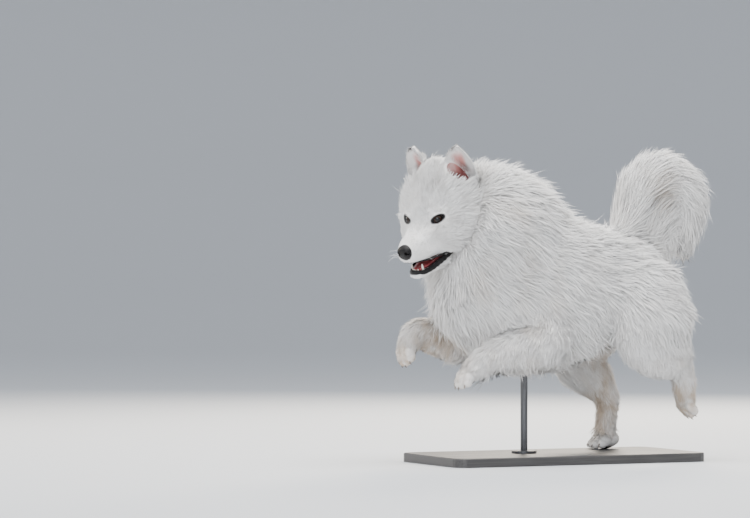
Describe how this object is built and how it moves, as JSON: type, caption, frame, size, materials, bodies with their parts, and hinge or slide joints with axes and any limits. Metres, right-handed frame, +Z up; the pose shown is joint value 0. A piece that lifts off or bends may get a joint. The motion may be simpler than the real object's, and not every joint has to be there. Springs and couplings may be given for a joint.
{
  "type": "samoyed dog model",
  "caption": "Life-size still model of a running Samoyed dog with a long white coat, raised tail plume and open mouth, held over a flat base by a slim rod.",
  "frame": {"origin": "centre of the display base's underside", "axes": "+X towards the dog's nose, +Y towards the dog's left, +Z up"},
  "size_m": [0.8088, 0.3608, 0.6995],
  "materials": {
    "coat": "matte",
    "nose_leather": "satin",
    "eye": "gloss",
    "tongue": "satin",
    "tooth": "gloss",
    "stand_steel": "satin",
    "stand_board": "satin"
  },
  "bodies": {
    "root": {"torso": "coat", "neck": "coat", "head": "coat", "jaw": "coat", "tail": "coat", "ear_left": "coat", "ear_right": "coat", "foreleg_left": "coat", "foreleg_right": "coat", "hindleg_left": "coat", "hindleg_right": "coat", "nose": "nose_leather", "eye_left": "eye", "eye_right": "eye", "tongue": "tongue", "teeth": "tooth", "stand_base": "stand_board", "stand_rod": "stand_steel"}
  },
  "joints": []
}
